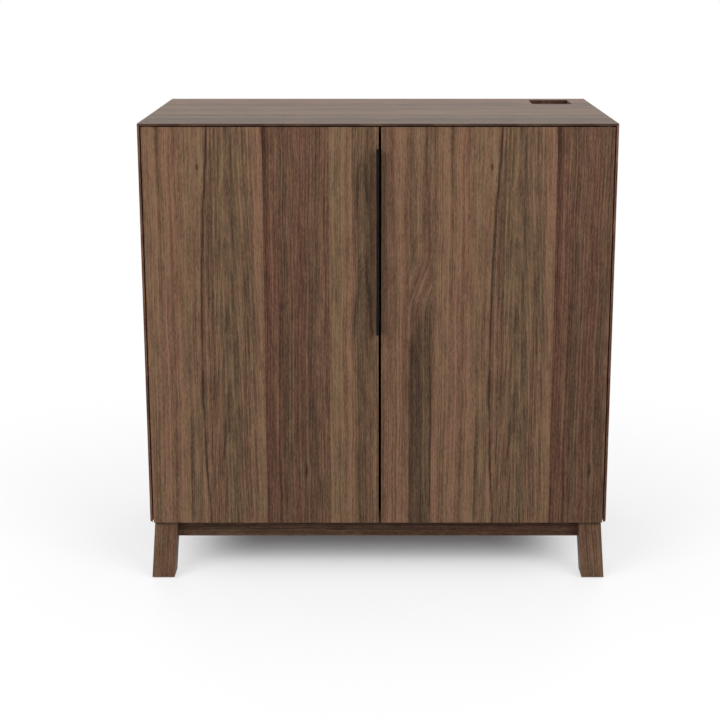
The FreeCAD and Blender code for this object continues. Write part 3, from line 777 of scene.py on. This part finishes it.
def screw_heads(name, body, finish, size, heads):
    """Heads in one piece, each on its spot on a surface that faces its way, turned at random."""
    random = Random(name)
    levels = head_levels(*size)
    mesh = bmesh.new()
    for spot, way in heads:
        lean = Vector(way).to_track_quat("Z", "Y").to_matrix().to_4x4()
        place = Matrix.Translation(spot) @ lean @ Matrix.Rotation(random.uniform(0, math.tau), 4, "Z")
        rings = []
        for outline, height in levels:
            points = [place @ Vector((point.x, point.y, height)) for point in outline]
            rings.append([mesh.verts.new(point) for point in points])
        mesh.faces.new(rings[0])
        for inner, outer in zip(rings, rings[1:]):
            for number, vertex in enumerate(inner):
                after = (number + 1) % POINTS_ROUND
                mesh.faces.new((vertex, outer[number], outer[after], inner[after]))
        mesh.faces.new(reversed(rings[-1]))
    for face in mesh.faces:
        face.smooth = True
    bmesh.ops.recalc_face_normals(mesh, faces=mesh.faces)
    data = bpy.data.meshes.new(name)
    mesh.to_mesh(data)
    mesh.free()
    data.materials.append(finish)
    piece = bpy.data.objects.new(name, data)
    bpy.context.scene.collection.objects.link(piece)
    crease = piece.modifiers.new("crease", "EDGE_SPLIT")
    crease.split_angle = CREASE_ANGLE
    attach(piece, body)


# How thick the sheet is that takes the screws, on a pivot plate and on a catch's ears.
PLATE_SHEET = 1.5 * MM
EAR_SHEET = 3.0 * MM


def side_of(corners, axis, way):
    """The lowest or highest value of a box along an axis, as way is -1 or 1."""
    return corners[0 if way < 0 else 1][axis]


def pull_screws():
    """Three screws through the pull's flange into the edge of the left door."""
    inset, from_back = 30 * MM, 7 * MM
    low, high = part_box("door_pull")
    across, along = high[X], high[Y] - from_back
    heights = (low[Z] + inset, (low[Z] + high[Z]) / 2, high[Z] - inset)
    heads = [((across, along, height), (1, 0, 0)) for height in heights]
    screw_heads("pull_screws", LEFT_LEAF, BLACKENED, PULL_HEAD, heads)


def pivot_plate_screws():
    """Two screws through the flange of each pivot plate."""
    up, backs = 9 * MM, (9 * MM, 30 * MM)
    heads = []
    for pivot in PIVOTS:
        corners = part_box(f"{pivot}_pivot_plate")
        inward = 1 if pivot.endswith("left") else -1
        upward = 1 if pivot.startswith("lower") else -1
        height = side_of(corners, Z, -upward) + upward * up
        for back in backs:
            across = side_of(corners, X, inward) - inward * back
            heads.append(((across, corners[1][Y] - PLATE_SHEET, height), (0, -1, 0)))
    screw_heads("pivot_plate_screws", ROOT, BLACKENED, PLATE_HEAD, heads)


def door_stop_screws():
    """Two screws up through each catch's ears, and two that hold its strike to the door."""
    in_ear, from_back, in_strike = 4 * MM, 5 * MM, 5 * MM
    catch_heads = []
    for side, body in zip(SIDES, (LEFT_LEAF, RIGHT_LEAF)):
        low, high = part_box(f"{side}_catch")
        for across in (low[X] + in_ear, high[X] - in_ear):
            catch_heads.append(((across, high[Y] - from_back, high[Z] - EAR_SHEET), (0, 0, -1)))
        low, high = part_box(f"{side}_strike")
        middle = (low[Z] + high[Z]) / 2
        spots = (low[X] + in_strike, high[X] - in_strike)
        heads = [((across, high[Y], middle), (0, 1, 0)) for across in spots]
        screw_heads(f"{side}_strike_screws", body, ZINC, STRIKE_HEAD, heads)
    screw_heads("catch_screws", ROOT, ZINC, CATCH_HEAD, catch_heads)


def back_screws():
    """A row of screws along each edge of the back panel."""
    edge, corner = 5 * MM, 34 * MM
    upright_gaps, level_gaps = 5, 4
    low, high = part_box("back_panel")
    heads = []
    for number in range(upright_gaps + 1):
        height = low[Z] + corner + (high[Z] - low[Z] - 2 * corner) * number / upright_gaps
        heads += [((across, high[Y], height), (0, 1, 0)) for across in (low[X] + edge, high[X] - edge)]
    for number in range(level_gaps + 1):
        across = low[X] + 4 * corner + (high[X] - low[X] - 8 * corner) * number / level_gaps
        heads += [((across, high[Y], height), (0, 1, 0)) for height in (low[Z] + edge, high[Z] - edge)]
    screw_heads("back_screws", ROOT, ZINC, BACK_HEAD, heads)


def corner_block_screws():
    """One screw up through each corner block."""
    inset = 20 * MM
    heads = []
    for quarter in QUARTERS:
        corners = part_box(f"{quarter}_corner_block")
        inward = 1 if quarter.endswith("left") else -1
        backward = 1 if quarter.startswith("front") else -1
        across = side_of(corners, X, -inward) + inward * inset
        along = side_of(corners, Y, -backward) + backward * inset
        heads.append(((across, along, corners[0][Z]), (0, 0, -1)))
    screw_heads("corner_block_screws", ROOT, ZINC, BLOCK_HEAD, heads)


def glass_rail_screws():
    """Two screws up through each glass rail."""
    inset = 40 * MM
    heads = []
    for rail in GLASS_RAILS:
        low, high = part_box(rail)
        middle = (low[X] + high[X]) / 2
        heads += [((middle, along, low[Z]), (0, 0, -1)) for along in (low[Y] + inset, high[Y] - inset)]
    screw_heads("glass_rail_screws", ROOT, ZINC, RAIL_HEAD, heads)


pull_screws()
pivot_plate_screws()
door_stop_screws()
back_screws()
corner_block_screws()
glass_rail_screws()

# The floor: how far it goes, the half width of the strip under the cabinet that its glow starts from,
# how far from that strip the glow has its first share and then all of its strength, and the colours
# that it reflects onto the piece and shows.
FLOOR_REACH = 20.0
STRIP_HALF = 0.24
# The glow's first share lies near the cabinet and is painted light: it pales the cabinet's shadow on
# the floor.
GLOW_NEAR = 0.3
GLOW_FULL = 1.3
FIRST_SHARE = 0.6
FLOOR_BOUNCE = colour(112, 112, 114)
FLOOR_DULL = colour(246, 246, 248)
FLOOR_CLEAN = colour(249, 249, 251)


def lay_floor():
    """A pale floor that turns white away from the cabinet, as the camera and a gloss see it, and whose
    glow near the cabinet is painted light that pales the cabinet's shadow.
    """
    look = Look("floor")
    place = look.coordinates()
    beside = look.math("SUBTRACT", look.math("ABSOLUTE", place[X]), STRIP_HALF)
    away = look.length(look.math("MAXIMUM", beside, 0.0), place[Y])
    # Painted light: the glow rises from nothing at the strip and pales the cabinet's shadow near it.
    near = look.ramp(away, 0.0, GLOW_NEAR, 0.0, FIRST_SHARE)
    far = look.ramp(away, GLOW_NEAR, GLOW_FULL, 0.0, 1.0 - FIRST_SHARE)
    mottle = look.noise(look.vector(*place), (3.0, 3.0, 3.0), 2.0)
    pale = look.mix(mottle, FLOOR_DULL, FLOOR_CLEAN)
    path = look.nodes.new("ShaderNodeLightPath")
    seen = look.math("MAXIMUM", path.outputs["Is Camera Ray"], path.outputs["Is Glossy Ray"])
    look.set(Base_Color=look.mix(seen, FLOOR_BOUNCE, pale))
    look.set(Roughness=0.9, Specular_IOR_Level=0.1)
    glow = look.nodes.new("ShaderNodeEmission")
    glow.inputs["Strength"].default_value = 1.0
    blend = look.nodes.new("ShaderNodeMixShader")
    look.links.new(look.times(look.total(near, far), seen), blend.inputs[0])
    look.links.new(look.surface.outputs[0], blend.inputs[1])
    look.links.new(glow.outputs[0], blend.inputs[2])
    look.links.new(blend.outputs[0], look.nodes["Material Output"].inputs["Surface"])
    mesh = bmesh.new()
    bmesh.ops.create_grid(mesh, x_segments=8, y_segments=8, size=FLOOR_REACH)
    data = bpy.data.meshes.new("floor")
    mesh.to_mesh(data)
    mesh.free()
    data.materials.append(look.material)
    floor = bpy.data.objects.new("floor", data)
    bpy.context.scene.collection.objects.link(floor)


def surround():
    """A surround that is white where it is seen, and lights the cabinet by WORLD_LIGHT."""
    world = bpy.data.worlds.new("surround")
    bpy.context.scene.world = world
    world.use_nodes = True
    nodes, links = world.node_tree.nodes, world.node_tree.links
    background = nodes["Background"]
    background.inputs["Color"].default_value = (1.0, 1.0, 1.0, 1.0)
    path = nodes.new("ShaderNodeLightPath")
    seen = path.outputs["Is Camera Ray"]
    for kind in ("Is Glossy Ray", "Is Transmission Ray"):
        either = nodes.new("ShaderNodeMath")
        either.operation = "MAXIMUM"
        links.new(seen, either.inputs[0])
        links.new(path.outputs[kind], either.inputs[1])
        seen = either.outputs[0]
    level = nodes.new("ShaderNodeMapRange")
    links.new(seen, level.inputs["Value"])
    level.inputs["To Min"].default_value = WORLD_LIGHT
    level.inputs["To Max"].default_value = 1.0
    links.new(level.outputs[0], background.inputs["Strength"])


def softboxes():
    """Square soft lamps, turned to the middle of the cabinet and hidden from camera and gloss."""
    for name, spot, size, power in LAMPS:
        light = bpy.data.lights.new(name, "AREA")
        light.shape = "SQUARE"
        light.size = size
        light.energy = power
        lamp = bpy.data.objects.new(name, light)
        lamp.location = spot
        lamp.rotation_euler = (LAMP_TARGET - Vector(spot)).to_track_quat("-Z", "Y").to_euler()
        lamp.visible_camera = False
        lamp.visible_glossy = False
        bpy.context.scene.collection.objects.link(lamp)


def camera():
    """The photograph's view, as near as a camera with a small shift comes to it."""
    data = bpy.data.cameras.new("camera")
    data.sensor_width = CAMERA_SENSOR
    data.lens = CAMERA_LENS
    data.shift_x = SIDE_SHIFT
    data.shift_y = DOWN_SHIFT
    view = bpy.data.objects.new("camera", data)
    view.location = (0.0, CASE_FRONT - CAMERA_DISTANCE, CAMERA_HEIGHT)
    view.rotation_euler = (math.radians(90) - CAMERA_PITCH, 0.0, 0.0)
    bpy.context.scene.collection.objects.link(view)
    bpy.context.scene.camera = view


lay_floor()
surround()
softboxes()
camera()
bpy.context.scene.view_settings.view_transform = "Standard"
